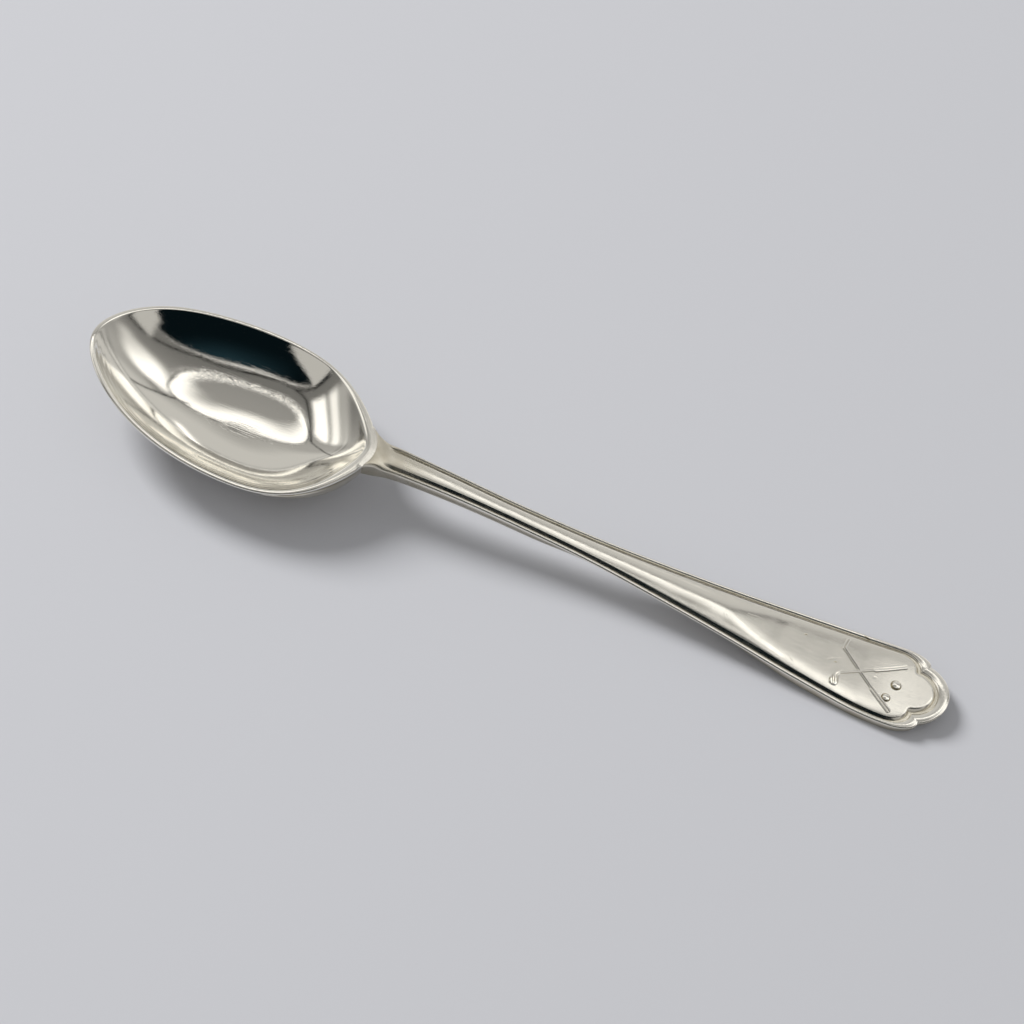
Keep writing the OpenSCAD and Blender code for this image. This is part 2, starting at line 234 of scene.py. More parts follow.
def bowlOutside(a, r, rim, inward, top, power, lipIn, lipZ):
    # the bowl's back, with an upright wall and a crease under the rim at the heel's corners; the back partly
    # tarnish, partly painted shade, the wall and crease painted shade
    b = bowl
    low = (b["flat"] / b["width"]) ** power
    band = ramp(a, b["bandSpan"]) ** b["bandPower"] * (1 - ramp(a, b["bandEnd"]))
    split = b["outRows"] - b["bandRows"] * clamp(band * 4)
    walled = clamp(band * 3)
    bandZ = mix(lipZ, top - b["bandH"], band)
    inset = lipIn + b["bandRound"] * walled
    s, groove = 1.0, 0.0
    if r < split:
        s = mix(b["flat"] / b["width"], 1, (r / split) ** b["outSpread"])
        z = bandZ * (s ** power - low) / (1 - low)
    else:
        up = (r - split) / (b["outRows"] - split) if split < b["outRows"] else 1.0
        z = mix(bandZ, lipZ, up)
        groove = walled * hump(up, b["creaseAt"], b["creaseWidth"])
        inset = mix(inset, lipIn, 1 - (1 - up) ** 3) + b["creaseDepth"] * groove
    narrowed = fullness(math.radians(a), s) / fullness(math.radians(a))
    x, y = rim[0] + inward[0] * inset, rim[1] + inward[1] * inset
    tone = max(mix(b["backTarnishAndShade"], b["wallShade"], walled), b["creaseShade"] * groove)
    return mix(deepX, x, s), y * s * narrowed, z, tone, 0.0


def bowlInside(a, r, rim, inward, top, power, lip, heel):
    # the soft turn from the lip, then the hollow; the last value is the distance from the rim
    b = bowl
    k = b["insideRound"]
    reach = math.hypot(rim[0] - deepX, rim[1])
    turnR = mix(b["innerRound"], b["heelRound"], heel)
    lipTop = lip + mix(b["lipFlat"], b["heelFlat"], heel)
    steep = (top - turnR / 2 - b["bottomT"]) * (2 * k + (1 - k) * power) / (reach - lipTop)
    turn = math.atan(steep) * min(r / b["innerRows"], 1) ** b["inSpread"]
    into, z = lipTop + turnR * math.sin(turn), top - turnR * (1 - math.cos(turn))
    x, y = rim[0] + inward[0] * into, rim[1] + inward[1] * into
    if r <= b["innerRows"]:
        return x, y, z, 0.0, heel * (1 - r / b["innerRows"]), into
    s = max(1 - ((r - b["innerRows"]) / b["hollowRows"]) ** b["inSpread"], 0.0)
    rise = k * s * s + (1 - k) * s ** power
    narrowed = fullness(math.radians(a), s) / fullness(math.radians(a))
    return (mix(deepX, x, s), y * s * narrowed, mix(b["bottomT"], z, rise), 0.0, 0.0,
            into + (1 - s) * (reach - into))


def bowlPlace(c, r):
    b = bowl
    a = 180 * c / b["columns"]
    x, y = rimPoint(a)
    nx, ny = rimInward(a)
    if c in (0, b["columns"]):  # on the middle line
        y = ny = 0.0
    top, power = rimHeight(x), wallPower(a)
    heel = ramp(a, b["heelSpan"])  # 1 where the neck carries the rim
    lip = mix(b["lipRound"], b["heelLip"], ramp(a, b["lipSpan"]))
    outAngle = math.atan((top - 2 * lip) * power / math.hypot(x - deepX, y))
    lipZ = top - lip * (1 + math.cos(outAngle))
    if r <= b["outRows"]:
        return bowlOutside(a, r, (x, y), (nx, ny), top, power, lip * (1 - math.sin(outAngle)), lipZ)
    r -= b["outRows"]
    if r <= b["lipRows"]:
        held = ramp(a, (neck["angle"] - b["heldRun"], b["heldRun"]))  # flat against the neck
        share = r / b["lipRows"]
        turn = mix(outAngle - math.pi / 2, math.pi / 2, share)
        into = mix(lip * (1 - math.cos(turn)), 0, held)
        z = mix(top - lip + lip * math.sin(turn), mix(lipZ, top, share), held)
        # painted shade: darker towards the lip's underside
        return x + nx * into, y + ny * into, z, b["lipTone"] * (1 - share), heel
    return bowlInside(a, r - b["lipRows"], (x, y), (nx, ny), top, power, lip, heel)


bowlRows = sum(bowl[k + "Rows"] for k in ("out", "lip", "inner", "hollow"))
spoonBowl = finishPiece(mirrored(halfGrid(bowl["columns"], bowlRows, bowlPlace)),
                        "spoonBowl", ["bowl"], 50)


# Handle, shared by its four pieces
handle = {
    "stemW": 3.48, "endW": 12.24,
    # at nine equal steps from the heel to the end
    "widen": [0, 0, 0.005, 0.064, 0.244, 0.477, 0.758, 0.991, 1],
    "lift": [4.92, 4.68, 3.99, 3.3, 2.41, 1.5, 0.53, -0.05, 0],
    "edge": [2.02, 1.85, 1.65, 1.45, 1.35, 1.28, 1.28, 1.2, 1.2],
    "rise": [0.09, 0.08, 0.08, 0.12, 0.36, 0.47, 0.24, 0.12, 0.1],
    "endLift": 1.2, "restEnd": 48.0,
    "stemBorder": 0.62, "endBorder": 0.8, "grooveDepth": 0.35,
    "edgeShare": 0.82,  # height of the widest point of the edge
    "grooveSpan": (-19.6, 2.6),  # where the grooves start and how fast they deepen
    "stemCrest": 0.44, "stemFoot": 0.81, "endCrest": 0.38, "endFoot": 0.82,
    "slopeRun": 0.36, "lipUp": 0.01, "lipRoll": 0.03, "lipLen": 0.07,
    "lipEnd": 50.5,  # where the panel's lip turns into its shoulder
    "sag": 0.7, "sagBack": 1, "sagLen": 2.4,  # the neck is thicker where it meets the bowl
    "neckInset": 0.62, "stemInset": 1.15, "endInset": 0.16,  # the underside against the edge
    "stemSpan": (1, 9), "endSpan": (26, 14),
    "bevel": 0.7, "bevelEnd": (24, 12),  # plain slope under the stem's edge
    "stemPower": 2.0, "panelPower": 6.0, "panelSpan": (27, 9),  # crown: round, then flat
    "rampH": 0.1, "rampSpan": (20, 6), "rampEnd": 33.4, "rampBow": 0.05, "rampLen": 4.5,
    "sideSpread": 0.8, "rollReach": 0.3, "rollSpread": 1.6, "rollMost": 0.6, "rollLeast": 0.3,
    # painted shade on the underside, bead, foot and seat; the side walls a tan painted reflection of the
    # shaded floor
    "underShade": 0.3, "sideShades": (0.8, 0.65), "beadShade": 0.3, "footShade": 0.55, "seatShade": 0.5,
    "lipTone": 0.1, "topTone": 0.05,
    "underRows": 4, "sideRows": 9, "beadRows": 14, "footRows": 2, "seatRows": 3,
    "crownSeatRows": 2, "slopeRows": 4, "rollRows": 8, "topRows": 16,
    "stemColumns": 230, "stemEven": 0.22,  # share of even steps; the rest crowd at the neck
}
handleLen = spoon["endX"] - spoon["heelX"]


def along(x):
    return clamp((x - spoon["heelX"]) / handleLen)


def widened(x):
    return steps(handle["widen"], along(x))


def stemHalf(x):
    base = handle["stemW"] / 2
    return (base + (neck["width"] / 2 - base) * max(0, 1 - along(x) / neck["flareShare"]) ** 2
            + (handle["endW"] / 2 - base) * widened(x))


# The flare that carries the neck's outline into the bowl's, with one slope where they meet
flareW = cornerY - stemHalf(cornerX)
(x0, y0), (x1, y1) = (rimPoint(neck["angle"] + d) for d in (-0.2, 0.2))
flareLen = flareW / abs((y1 - y0) / (x1 - x0))


def halfWidth(x):
    return stemHalf(x) + flareW * math.exp(-max(x - cornerX, 0) / flareLen)


def borderWidth(x):
    return mix(handle["stemBorder"], handle["endBorder"], widened(x))


def neckSag(x):
    return handle["sag"] * hump(max(x - spoon["heelX"] + handle["sagBack"], 0), 0, handle["sagLen"])


def underHeight(x):
    # the arch of the handle, the spot it rests on and the lift of its end
    lift = handle["endLift"] * (max(x - handle["restEnd"], 0) / (spoon["endX"] - handle["restEnd"])) ** 2
    return max(steps(handle["lift"], along(x)), 0) + lift - neckSag(x)


def edgeT(x):
    return steps(handle["edge"], along(x)) + neckSag(x)


def underInset(x):
    inset = mix(handle["neckInset"], handle["stemInset"], ramp(x, handle["stemSpan"]))
    return mix(inset, handle["endInset"], ramp(x, handle["endSpan"]))


def bevelShare(x):
    return handle["bevel"] * ramp(x, handle["stemSpan"]) * (1 - ramp(x, handle["bevelEnd"]))


def grooveRun(x):
    return ramp(x, handle["grooveSpan"])


def lipHalf(x):
    x = min(x, handle["lipEnd"])
    return halfWidth(x) - borderWidth(x) - handle["slopeRun"]


def crownTop(x, y):
    # height of the raised top: round on the stem, flatter and square-shouldered on the panel
    h = handle
    power = mix(h["stemPower"], h["panelPower"], ramp(x, h["panelSpan"]))
    dome = steps(h["rise"], along(x)) * (1 - min(abs(y) / max(lipHalf(x), 0.2), 1) ** power)
    fallen = clamp((h["rampEnd"] - h["rampBow"] * y * y - x) / h["rampLen"])
    slope = h["rampH"] * ramp(x, h["rampSpan"]) * fallen
    return underHeight(x) + edgeT(x) + h["lipUp"] + dome + slope * (1 - min(abs(y) / lipHalf(x), 1) ** 2)


# One vertex of the lower tier: underside, edge, bead or border, groove and seat; underside, sides and groove
# painted darker as shade
lowerRows = sum(handle[k + "Rows"] for k in ("under", "side", "bead", "foot", "seat"))
upperRows = sum(handle[k + "Rows"] for k in ("crownSeat", "slope", "roll", "top"))


def between(outer, inner, share):
    return mix(outer[0], inner[0], share), mix(outer[1], inner[1], share)


def lowerPlace(outer, inner, r, underIn):
    h = handle
    w = widened(outer[0])
    if r <= h["underRows"]:
        x, y = between(outer, inner, underIn / borderWidth(outer[0]))
        return x, y * r / h["underRows"], underHeight(x), h["underShade"], "under"
    r -= h["underRows"]
    if r <= h["sideRows"]:
        turn = math.pi / 2 * r / h["sideRows"]
        share = mix(max(1 - math.sin(turn), 0) ** h["sideSpread"], math.cos(turn), bevelShare(outer[0]))
        x, y = between(outer, inner, share * underIn / borderWidth(outer[0]))
        return (x, y, underHeight(x) + h["edgeShare"] * edgeT(x) * (1 - math.cos(turn)),
                mix(*h["sideShades"], r / h["sideRows"]), "side")
    r -= h["sideRows"]
    deep = h["grooveDepth"]
    crest, foot = mix(h["stemCrest"], h["endCrest"], w), mix(h["stemFoot"], h["endFoot"], w)
    if r <= h["beadRows"]:
        turn = math.pi * r / h["beadRows"]
        if turn <= math.pi / 2:
            q, drop = crest * (1 - math.cos(turn)), (1 - h["edgeShare"]) * edgeT(outer[0])
        else:
            q, drop = crest - (foot - crest) * math.cos(turn), deep
        x, y = between(outer, inner, q)
        return (x, y, underHeight(x) + edgeT(x) - drop * (1 - math.sin(turn)),
                h["beadShade"] * clamp(q / foot * 4 - 3), "top")
    r -= h["beadRows"]
    if r <= h["footRows"]:
        x, y = between(outer, inner, mix(foot, 1, r / h["footRows"]))
        return x, y, underHeight(x) + edgeT(x) - deep, h["footShade"], "top"
    r -= h["footRows"]
    x, y = inner
    return x, y * (1 - r / h["seatRows"]), underHeight(x) + edgeT(x) - deep, h["seatShade"], "seat"


# One vertex of the upper tier: foot, slope up from the groove, lip and raised top; the slope painted darker
# towards the groove as shade
def upperPlace(inner, inward, r):
    h = handle
    foot = underHeight(inner[0]) + edgeT(inner[0]) - h["grooveDepth"]
    if r < h["crownSeatRows"]:
        x, y = inner
        return x, y * r / h["crownSeatRows"], foot, h["seatShade"], "seat"
    r -= h["crownSeatRows"]
    if r <= h["slopeRows"]:
        part = r / h["slopeRows"]
        x, y = (inner[k] + inward[k] * h["slopeRun"] * part for k in (0, 1))
        y = max(y, 0)
        level = "top" if r else "foot"
        return x, y, mix(foot, crownTop(x, y), part), mix(h["seatShade"], h["lipTone"], part), level
    r -= h["slopeRows"]
    into = h["rollReach"] * (min(r, h["rollRows"]) / h["rollRows"]) ** h["rollSpread"]
    into = min(into, h["rollMost"] * max(inner[1] - h["slopeRun"], h["rollLeast"]))
    x, y = (inner[k] + inward[k] * (h["slopeRun"] + into) for k in (0, 1))
    y = max(y, 0) * (1 - max(r - h["rollRows"], 0) / h["topRows"])
    roll = h["lipRoll"] * (1 - math.exp(-into / h["lipLen"]))
    return x, y, crownTop(x, y) + roll, h["topTone"], "top"


# The neck: both tiers turn into one smooth dome that meets the bowl's lip
def neckDome(x, y, half):
    e = clamp(1 - (min(abs(y) / half, 1)) ** neck["domePower"])
    rise = (1 - handle["edgeShare"]) * edgeT(x) + neck["domeRise"]
    return underHeight(x) + handle["edgeShare"] * edgeT(x) + rise * e ** neck["domeRound"]


def lipProfile(y, half):
    lip = bowl["heelLip"]
    d = clamp((half - abs(y)) / lip)
    drop = lip * neck["lipDepth"]
    return bowl["heelH"] - neck["lipUnder"] - (drop if d <= 0 else drop * (1 - math.sqrt(1 - (1 - d) ** 2)))


def arcX(y):
    low, high = 90.0, 180.0  # the rim's own curve, found by halving
    for _ in range(24):
        middle = (low + high) / 2
        low, high = (middle, high) if rimPoint(middle)[1] > y else (low, middle)
    return rimPoint(low)[0]


def insideWall(y, z):
    power = wallPower(neck["wallAngle"])
    s = clamp(z / bowl["heelH"]) ** (1 / power)
    sunk = neck["sunk"] * clamp((bowl["heelH"] - neck["sunkFrom"] - z) / neck["sunkRun"])
    return mix(deepX, arcX(abs(y) / max(s, 0.3)), s) - sunk


def neckBlend(x, y, z, kind, start, half):
    # start: how far the column is from the bowl's corner
    meet = 1 - eased(start / neck["fadeLen"])
    toRim = x + (arcX(min(abs(y), cornerY)) - cornerX) * meet
    if kind == "top":
        z = mix(neckDome(x, y, half), z, grooveRun(start + cornerX))
        return toRim, mix(z, lipProfile(y, half), meet)
    if kind == "side":
        lift = bowl["heelH"] - neck["lipUnder"] - neck["lipDepth"] * bowl["heelLip"]
        span = handle["edgeShare"] * edgeT(x)
        share = (z - underHeight(x)) / span
        z = underHeight(x) + share * mix(span, lift - underHeight(x), meet)
    sink = max(0, 1 - start / neck["sinkLen"]) ** 2
    return mix(toRim, insideWall(min(abs(y), cornerY), z), sink), z


def stemStation(c):
    # one column of the stem: its place, half width, inner half width and satin
    t = (c - 1) / handle["stemColumns"]
    column = mix(cornerX, spoon["jointX"], handle["stemEven"] * t + (1 - handle["stemEven"]) * t * t)
    half = halfWidth(column)
    extra = neck["borderExtra"] * math.exp(-(column - cornerX) / neck["borderExtraLen"])
    satin = 1 - (1 - neck["satinLeft"]) * ramp(column, neck["satinSpan"])
    return column, half, half - borderWidth(column) - extra, satin


def stemTone(x, tone, kind):
    # painted reflection: the top is evenly darkened before the groove starts, and more so at the neck, for
    # the darker place it reflects
    if kind != "top":
        return tone
    atNeck = neck["tone"] * hump(max(x, neck["shadeFrom"]), neck["shadeFrom"], neck["shadeLen"])
    return max(mix(neck["plainShade"], tone, grooveRun(x)), atNeck)


def stemEdgePlace(c, r):
    if c == 0:  # the hidden end, closed at one point in the bowl's wall
        return insideWall(0, neck["edgeEndH"]), 0.0, neck["edgeEndH"], handle["underShade"], 0.0
    column, half, innerHalf, satin = stemStation(c)
    start = column - cornerX
    underIn = underInset(column) - neck["insetLess"] * hump(start, 0, neck["insetLessLen"])
    x, y, z, tone, kind = lowerPlace((column, half), (column, innerHalf), r, underIn)
    x, z = neckBlend(x, y, z, kind, start, half)
    return x, y, z, stemTone(column, tone, kind), satin


def stemCrownPlace(c, r):
    if c == 0:
        return insideWall(0, neck["crownEndH"]), 0.0, neck["crownEndH"], handle["underShade"], 0.0
    column, half, innerHalf, satin = stemStation(c)
    x, y, z, tone, kind = upperPlace((column, innerHalf), (0, -1), r)
    tone = stemTone(column, tone, kind)
    if kind == "seat":
        z -= neck["seatDown"] * (1 - grooveRun(column))
    x, z = neckBlend(x, y, z, "top" if kind == "foot" else kind, column - cornerX, half)
    return x, y, z, tone, satin


stemEdge = finishPiece(mirrored(halfGrid(handle["stemColumns"] + 1, lowerRows, stemEdgePlace)),
                       "stemEdge", ["stem"])
stemCrown = finishPiece(mirrored(halfGrid(handle["stemColumns"] + 1, upperRows, stemCrownPlace)),
                        "stemCrown", ["stem_spine"])

# The end of the handle: shoulders, cusps and lobe
end = {
    "shoulder": 51.3, "cusp": (54.9, 4.5),
    "panelEnd": 56.25, "panelShoulder": 50.5, "panelCusp": (53.5, 3.05),
    "edgeSatin": 0.1, "panelSatin": (0.05, 0.6),
    "satinSpan": (34.6, 0.9), "satinBow": 0.12,  # where the worn top of the panel starts
    "straight": 70, "turned": 40, "lobe": 64,
}
endColumns = end["straight"] + end["turned"] + end["lobe"]


def lobedPoint(c, shoulder, half, cusp, tip):
    # half(x) gives the straight part's half width
    if c <= end["straight"]:
        x = mix(spoon["jointX"], shoulder, c / end["straight"])
        return x, half(x)
    c -= end["straight"]
    if c <= end["turned"]:
        turn = math.pi / 2 * c / end["turned"]
        return (mix(shoulder, cusp[0], math.sin(turn)),
                mix(cusp[1], half(shoulder), math.cos(turn)))
    c -= end["turned"]
    long = tip - cusp[0]
    radius = (long * long + cusp[1] * cusp[1]) / (2 * long)
    turn = math.atan2(cusp[1], cusp[0] - tip + radius) * (1 - c / end["lobe"])
    return tip - radius + radius * math.cos(turn), radius * math.sin(turn)


def outerEnd(c):
    return lobedPoint(c, end["shoulder"], halfWidth, end["cusp"], spoon["endX"])


def innerEnd(c):
    return lobedPoint(c, end["panelShoulder"], lambda x: halfWidth(x) - borderWidth(x),
                      end["panelCusp"], end["panelEnd"])


def inwardEnd(c):
    if c == 0:
        return 0.0, -1.0
    if c == endColumns:
        return -1.0, 0.0
    a, b = innerEnd(c - 1), innerEnd(c + 1)
    size = math.hypot(b[0] - a[0], b[1] - a[1])
    return (b[1] - a[1]) / size, -(b[0] - a[0]) / size


def endEdgePlace(c, r):
    x, y, z, tone, _ = lowerPlace(outerEnd(c), innerEnd(c), r, underInset(outerEnd(c)[0]))
    return x, y if c < endColumns else 0.0, z, tone, end["edgeSatin"]


def endPanelPlace(c, r):
    x, y, z, tone, _ = upperPlace(innerEnd(c), inwardEnd(c), r)
    halfRoll = handle["rollRows"] / 2
    onTop = eased((r - handle["crownSeatRows"] - handle["slopeRows"] - halfRoll) / halfRoll)
    worn = ramp(x - end["satinBow"] * y * y, end["satinSpan"])
    return x, y if c < endColumns else 0.0, z, tone, mix(*end["panelSatin"], onTop * worn)


endEdge = finishPiece(mirrored(halfGrid(endColumns, lowerRows, endEdgePlace)),
                      "endEdge", ["terminal"])
endPanel = finishPiece(mirrored(halfGrid(endColumns, upperRows, endPanelPlace)),
                       "endPanel", ["terminal_panel"])

# Drop: the tongue on the bowl's back
drop = {
    "path": [(-27.9, 0.95), (-27.0, 1.2), (-24.2, 2.95), (-21.6, 4.5), (-19.6, 5.1), (-18.0, 5.5)],
    "half": [0.0, 1.15, 1.5, 1.85, 1.5, 0.9],
    "depth": [0.0, 0.62, 0.78, 0.8, 0.6, 0.45],
    # tone: darker like the bowl's back, partly tarnish, partly painted shade
    "frontShare": 0.2, "sidePower": 0.85, "lidUp": 0.25, "lidRun": 0.1, "tone": 0.3,
    "columns": 60, "rows": 20, "lidRows": 4,
}


def dropPlace(c, r):
    t = c / drop["columns"]
    front = drop["frontShare"]
    x, z = (steps([p[k] for p in drop["path"]], t) for k in (0, 1))
    if t < front:  # round front end
        curve = math.sqrt(max(1 - (1 - t / front) ** 2, 0))
        half, depth = drop["half"][1] * curve, drop["depth"][1] * curve
    else:
        half, depth = (steps(drop[k][1:], (t - front) / (1 - front)) for k in ("half", "depth"))
    sideRows = drop["rows"] - drop["lidRows"]
    if r > sideRows:
        return (x, half * (drop["rows"] - r) / drop["lidRows"],
                z + drop["lidUp"] * min(1, t / drop["lidRun"]), drop["tone"], 0.0)
    turn = math.pi / 2 * r / sideRows
    y, low = half * math.sin(turn) ** drop["sidePower"], depth * math.cos(turn)
    return x, y, z - low, drop["tone"], 0.0


spoonDrop = finishPiece(mirrored(halfGrid(drop["columns"], drop["rows"], dropPlace)),
                        "spoonDrop", ["heel_drop"], 60)

# Golf motif in relief on the panel: places in the part's frame
motif = {
    "ironToe": (43.95, 4.05), "ironHeel": (43.5, 2.35), "overGripStart": (48.1, -1.78),
    "overEnd": (51.1, -4.35),
    "hosel": (43.72, -1.5), "underGripStart": (47.85, 0.95), "underEnd": (52.0, 3.3),
    "headTop": (43.35, -2.0), "headLow": (43.1, -3.75),
    "ballFar": (51.1, -0.1), "ballNear": (50.2, -2.4),
    "shaftW": 0.5, "gripW": 0.8, "bladeW": 0.72, "headW": 1.3, "ballD": 1.45,
    "clubH": 0.22, "ballH": 0.3, "sunk": 0.12,
    "ironWorn": 0.75, "woodWorn": 0.8, "nearWorn": (0.85, 0.8),  # shares that are left of the sizes
    "ironParting": 0.7, "woodParting": 0.35, "partingWidth": 0.26,
    "collar": 0.5, "gripJoin": 0.12,  # behind the head, before the grip
    "endRound": 0.6, "endWidth": 0.25, "endHeight": 0.3, "fullTop": 0.65,
    # edge: tarnish round the relief; parting: painted shade, a dark line down each club's middle
    "edgeTone": 0.2, "partingShade": 0.55, "partingShadeWidth": 0.13,
    "ballTone": 1.2, "ballToneSpan": (0.62, 0.3),
    "rows": 20,
}


def relief(name, nodeName, path, height, columns, parting):
    # a ridge that follows a path of (x, y, half width), rounded at both ends and parted along its middle
    m = motif
    lengths = [0.0]
    for a, b in zip(path, path[1:]):
        lengths.append(lengths[-1] + math.hypot(b[0] - a[0], b[1] - a[1]))

    def at(d):
        d = min(max(d, 0), lengths[-1])
        i = max(k for k in range(len(path) - 1) if lengths[k] <= d + 1e-9)
        t = (d - lengths[i]) / (lengths[i + 1] - lengths[i])
        return [mix(path[i][k], path[i + 1][k], t) for k in range(3)]

    bm = bmesh.new()
    tarnishAndShade = bm.verts.layers.float.new("tarnishAndShade")
    bm.verts.layers.float.new("satin")
    rows = m["rows"] * 2
    bmesh.ops.create_grid(bm, x_segments=columns, y_segments=rows, size=1)
    for v in bm.verts:
        d = lengths[-1] * (v.co.x + 1) / 2
        r = round((v.co.y + 1) / 2 * rows)
        x, y, half = at(d)
        (x0, y0, _), (x1, y1, _) = at(d - 0.08), at(d + 0.08)
        size = math.hypot(x1 - x0, y1 - y0)
        side = (-(y1 - y0) / size, (x1 - x0) / size)
        ends = min(d, lengths[-1] - d)
        blunt = math.sqrt(1 - (1 - clamp(ends / (m["endRound"] * half + 0.02))) ** 2)
        if r <= m["rows"]:  # top side, then back along the sunk side
            turn = math.pi * r / m["rows"]
            across = -math.cos(turn)
            up = math.sin(turn) ** m["fullTop"] * height * mix(m["endHeight"], 1, blunt)
            up *= 1 - parting * hump(across, 0, m["partingWidth"])
        else:
            across, up = 1 - 2 * (r - m["rows"]) / m["rows"], 0
        wide = half * mix(m["endWidth"], 1, blunt) * across
        v.co = (x + side[0] * wide, y + side[1] * wide, 0)
        # tarnish at the ridge's edges, painted shade along its parting
        v[tarnishAndShade] = max(m["edgeTone"] * abs(across) ** 8,
                       m["partingShade"] * parting * hump(across, 0, m["partingShadeWidth"]))
        v.co.z = crownTop(v.co.x, v.co.y) + handle["lipRoll"] + (up if up > 1e-6 else -m["sunk"])
    bmesh.ops.remove_doubles(bm, verts=bm.verts, dist=1e-4)
    return finishPiece(bm, name, [nodeName], 75)


def ball(name, nodeName, place, width, height):
    bm = bmesh.new()
    tarnishAndShade = bm.verts.layers.float.new("tarnishAndShade")
    bm.verts.layers.float.new("satin")
    bmesh.ops.create_uvsphere(bm, u_segments=40, v_segments=24, radius=1)
    for v in bm.verts:
        across = math.hypot(v.co.x, v.co.y)
        # a darker ring round the ball's side, its middle left plain
        v[tarnishAndShade] = motif["ballTone"] * ramp(across, motif["ballToneSpan"])
        v.co = (place[0] + v.co.x * width / 2, place[1] + v.co.y * width / 2,
                crownTop(*place) + handle["lipRoll"] + v.co.z * height)
    return finishPiece(bm, name, [nodeName], 75)


def heading(start, stop):
    return Vector((stop[0] - start[0], stop[1] - start[1])).normalized()


m = motif
overDir = heading(m["ironHeel"], m["overEnd"]) * m["collar"]
underDir = heading(m["hosel"], m["underEnd"]) * m["collar"]
ironClub = relief("ironClub", "club_over", [
    (*m["ironToe"], m["bladeW"] / 2), (*m["ironHeel"], m["bladeW"] / 2.4),
    (m["ironHeel"][0] + overDir.x, m["ironHeel"][1] + overDir.y, m["shaftW"] / 2),
    (*m["overGripStart"], m["shaftW"] / 2),
    (m["overGripStart"][0] + m["gripJoin"], m["overGripStart"][1] - m["gripJoin"], m["gripW"] / 2),
    (*m["overEnd"], m["gripW"] / 2)], m["clubH"] * m["ironWorn"], 150, m["ironParting"])
woodClub = relief("woodClub", "club_under", [
    (*m["headLow"], m["headW"] / 2.6),
    (*(mix(low, top, 0.4) for low, top in zip(m["headLow"], m["headTop"])), m["headW"] / 2),
    (*m["headTop"], m["headW"] / 3), (*m["hosel"], m["shaftW"] / 2.4),
    (m["hosel"][0] + underDir.x, m["hosel"][1] + underDir.y, m["shaftW"] / 2.4),
    (*m["underGripStart"], m["shaftW"] / 2.2),
    (m["underGripStart"][0] + m["gripJoin"], m["underGripStart"][1] + m["gripJoin"] / 2, m["gripW"] / 2),
    (*m["underEnd"], m["gripW"] / 2)], m["clubH"] * m["woodWorn"], 170, m["woodParting"])
farBall = ball("farBall", "ball_far", m["ballFar"], m["ballD"], m["ballH"])
nearBall = ball("nearBall", "ball_near", m["ballNear"], m["ballD"] * m["nearWorn"][0],
                m["ballH"] * m["nearWorn"][1])

# Silver plate
plate = {
    # tone: the brown of the tarnish, also used for painted shade
    "silver": (0.93, 0.915, 0.87), "tone": (0.4, 0.34, 0.2),
    "scratchWidth": 0.00016, "scratchLen": 0.004, "bumpDepth": 0.00002,
    "cloudScale": 420, "speckScale": 2600, "tonedRough": 0.12, "scratchedRough": 0.05,
    "rippleTurn": 8.5, "rippleStray": 5.0, "strayScale": 150,  # ripples, by distance from the rim
}


class NodeTree:
    # short way to add nodes and join them
    def __init__(self, tree):
        self.tree = tree

    def add(self, kind, values=None, links=None, **settings):
        n = self.tree.nodes.new(kind)
        for key, value in settings.items():
            setattr(n, key, value)
        for key, value in (values or {}).items():
            n.inputs[key].default_value = value
        for key, source in (links or {}).items():
            self.tree.links.new(source, n.inputs[key])
        return n

    def math(self, operation, a, b=None, c=None, clampIt=False):
        n = self.add("ShaderNodeMath", operation=operation, use_clamp=clampIt)
        for i, value in enumerate((a, b, c)):
            if value is None:
                continue
            if isinstance(value, (int, float)):
                n.inputs[i].default_value = value
            else:
                self.tree.links.new(value, n.inputs[i])
        return n.outputs[0]

    def noise(self, vector, scale, detail=2.0, rough=0.5):
        return self.add("ShaderNodeTexNoise", {"Scale": scale, "Detail": detail, "Roughness": rough},
                        {"Vector": vector}).outputs["Fac"]

    def stretched(self, vector, scale, angle):
        return self.add("ShaderNodeMapping", {"Rotation": (0, 0, math.radians(angle)), "Scale": scale},
                        {"Vector": vector}).outputs["Vector"]

    def range(self, value, low, high, toLow=0.0, toHigh=1.0):
        return self.add("ShaderNodeMapRange", {"From Min": low, "From Max": high, "To Min": toLow,
                                               "To Max": toHigh}, {"Value": value}).outputs["Result"]


def scratched(t, place, marks):
    # single marks, each (x, y, angle, length, width, darkness) in millimetres
    depth = dark = 0.0
    for x, y, angle, length, width, tone in marks:
        local = t.add("ShaderNodeMapping", {
            "Location": (x / 1000, y / 1000, 0), "Rotation": (0, 0, math.radians(angle)),
            "Scale": (length / 2000, width / 2000, 1)}, {"Vector": place}, vector_type="TEXTURE")
        away = t.add("ShaderNodeVectorMath", links={0: local.outputs[0]}, operation="LENGTH").outputs["Value"]
        here = t.range(away, 1.1, 0.5)
        depth = t.math("ADD", here, depth)
        dark = t.math("MULTIPLY_ADD", here, tone, dark)
    return depth, dark


